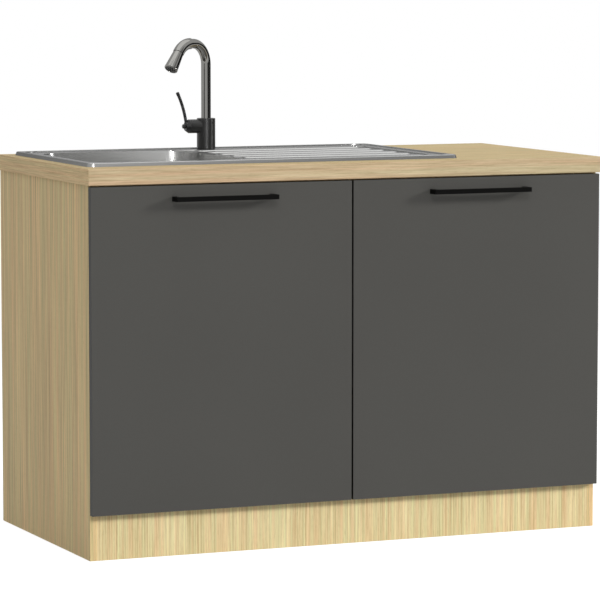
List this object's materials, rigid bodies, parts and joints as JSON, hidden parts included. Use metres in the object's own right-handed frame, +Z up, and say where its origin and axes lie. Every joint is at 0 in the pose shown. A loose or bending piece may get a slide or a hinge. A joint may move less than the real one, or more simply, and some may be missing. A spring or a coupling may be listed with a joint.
{
  "type": "kitchen sink unit",
  "caption": "Two-door base cabinet with an oak grain worktop, an inset steel sink with drainer, and a black mixer tap with a chrome swivel spout and pull-out spray.",
  "frame": {"origin": "on the floor under the middle of the whole unit, handles and pipe end included", "axes": "+X to the right seen from the front, +Y to the wall behind, +Z up"},
  "size_m": [1.2, 0.6328, 1.0856],
  "materials": {
    "oak_board": "light oak grain laminate, satin",
    "worktop_laminate": "light oak grain laminate, satin",
    "plinth_laminate": "pale oak grain laminate, satin",
    "graphite": "plain graphite melamine, matt",
    "hardboard": "thin white-faced hardboard",
    "black_metal": "black powder coat, satin",
    "black_tap": "black coat on brass, satin",
    "tap_chrome": "chromed brass, polished",
    "stainless": "pressed stainless steel, fine brushed",
    "steel_polished": "polished stainless steel",
    "zinc": "zinc plated steel",
    "nickel": "nickel plated steel",
    "white_plastic": "white polypropylene",
    "block_plastic": "beige plastic",
    "black_rubber": "black rubber",
    "seal_foam": "grey foam seal",
    "pad_clear": "translucent soft pad",
    "brass": "plain brass",
    "black_plastic": "black plastic",
    "cartridge": "grey plastic"
  },
  "bodies": {
    "cabinet": {"side_panel_left": "oak_board", "side_panel_right": "oak_board", "bottom_panel": "oak_board", "plinth_board": "plinth_laminate", "front_rail": "oak_board", "rear_rail": "oak_board", "back_panel": "hardboard", "worktop": "worktop_laminate", "worktop_brackets": "zinc", "joint_blocks": "block_plastic", "hinge_arms": "nickel", "hinge_plates": "nickel", "sink": "stainless", "sink_seal": "seal_foam", "sink_clamps": "zinc", "waste_flange": "steel_polished", "waste_gasket": "black_rubber", "waste_body": "white_plastic", "waste_bolt": "steel_polished", "overflow_rosette": "steel_polished", "overflow_elbow": "white_plastic", "overflow_pipe": "white_plastic", "trap_inlet_nut": "white_plastic", "trap_tube": "white_plastic", "trap_bottle": "white_plastic", "trap_cup": "white_plastic", "trap_outlet_nut": "white_plastic", "trap_outlet_pipe": "white_plastic", "tap_body": "black_tap", "tap_gasket": "black_rubber", "tap_washer": "zinc", "tap_nut": "brass", "tap_cartridge": "cartridge", "spout_seal": "black_rubber"},
    "door_left": {"door_left": "graphite", "handle_left": "black_metal", "handle_screws_left": "zinc", "door_bumpers_left": "pad_clear", "hinge_cups_left": "nickel"},
    "door_right": {"door_right": "graphite", "handle_right": "black_metal", "handle_screws_right": "zinc", "door_bumpers_right": "pad_clear", "hinge_cups_right": "nickel"},
    "basket": {"strainer_basket": "steel_polished"},
    "spout": {"spout": "tap_chrome"},
    "spray": {"spray_head": "tap_chrome", "spray_nozzle": "tap_chrome", "aerator": "black_plastic"},
    "lever_hub": {"lever_hub": "black_tap", "lever_pin": "zinc"},
    "lever": {"lever": "black_tap"}
  },
  "joints": [
    {"name": "door_left_swing", "type": "hinge", "parent": "cabinet", "child": "door_left", "pos_m": [-0.5917, -0.28035, 0.44375], "axis": [0, 0, -1], "range_deg": [0, 100]},
    {"name": "door_right_swing", "type": "hinge", "parent": "cabinet", "child": "door_right", "pos_m": [0.5917, -0.28035, 0.44375], "axis": [0, 0, 1], "range_deg": [0, 100]},
    {"name": "basket_lift", "type": "slide", "parent": "cabinet", "child": "basket", "axis": [0, 0, 1], "range_m": [0, 0.06]},
    {"name": "spout_swivel", "type": "hinge", "parent": "cabinet", "child": "spout", "pos_m": [-0.13, 0.24335, 0.9035], "axis": [0, 0, 1], "continuous": true},
    {"name": "spray_pull", "type": "slide", "parent": "spout", "child": "spray", "axis": [-0.866, -0.5, 0], "range_m": [0, 0.1]},
    {"name": "lever_turn", "type": "hinge", "parent": "cabinet", "child": "lever_hub", "pos_m": [-0.1782, 0.24335, 0.8855], "axis": [1, 0, 0], "range_deg": [-45, 45]},
    {"name": "lever_tilt", "type": "hinge", "parent": "lever_hub", "child": "lever", "pos_m": [-0.1782, 0.24335, 0.8915], "axis": [0, -1, 0], "range_deg": [0, 20]}
  ]
}
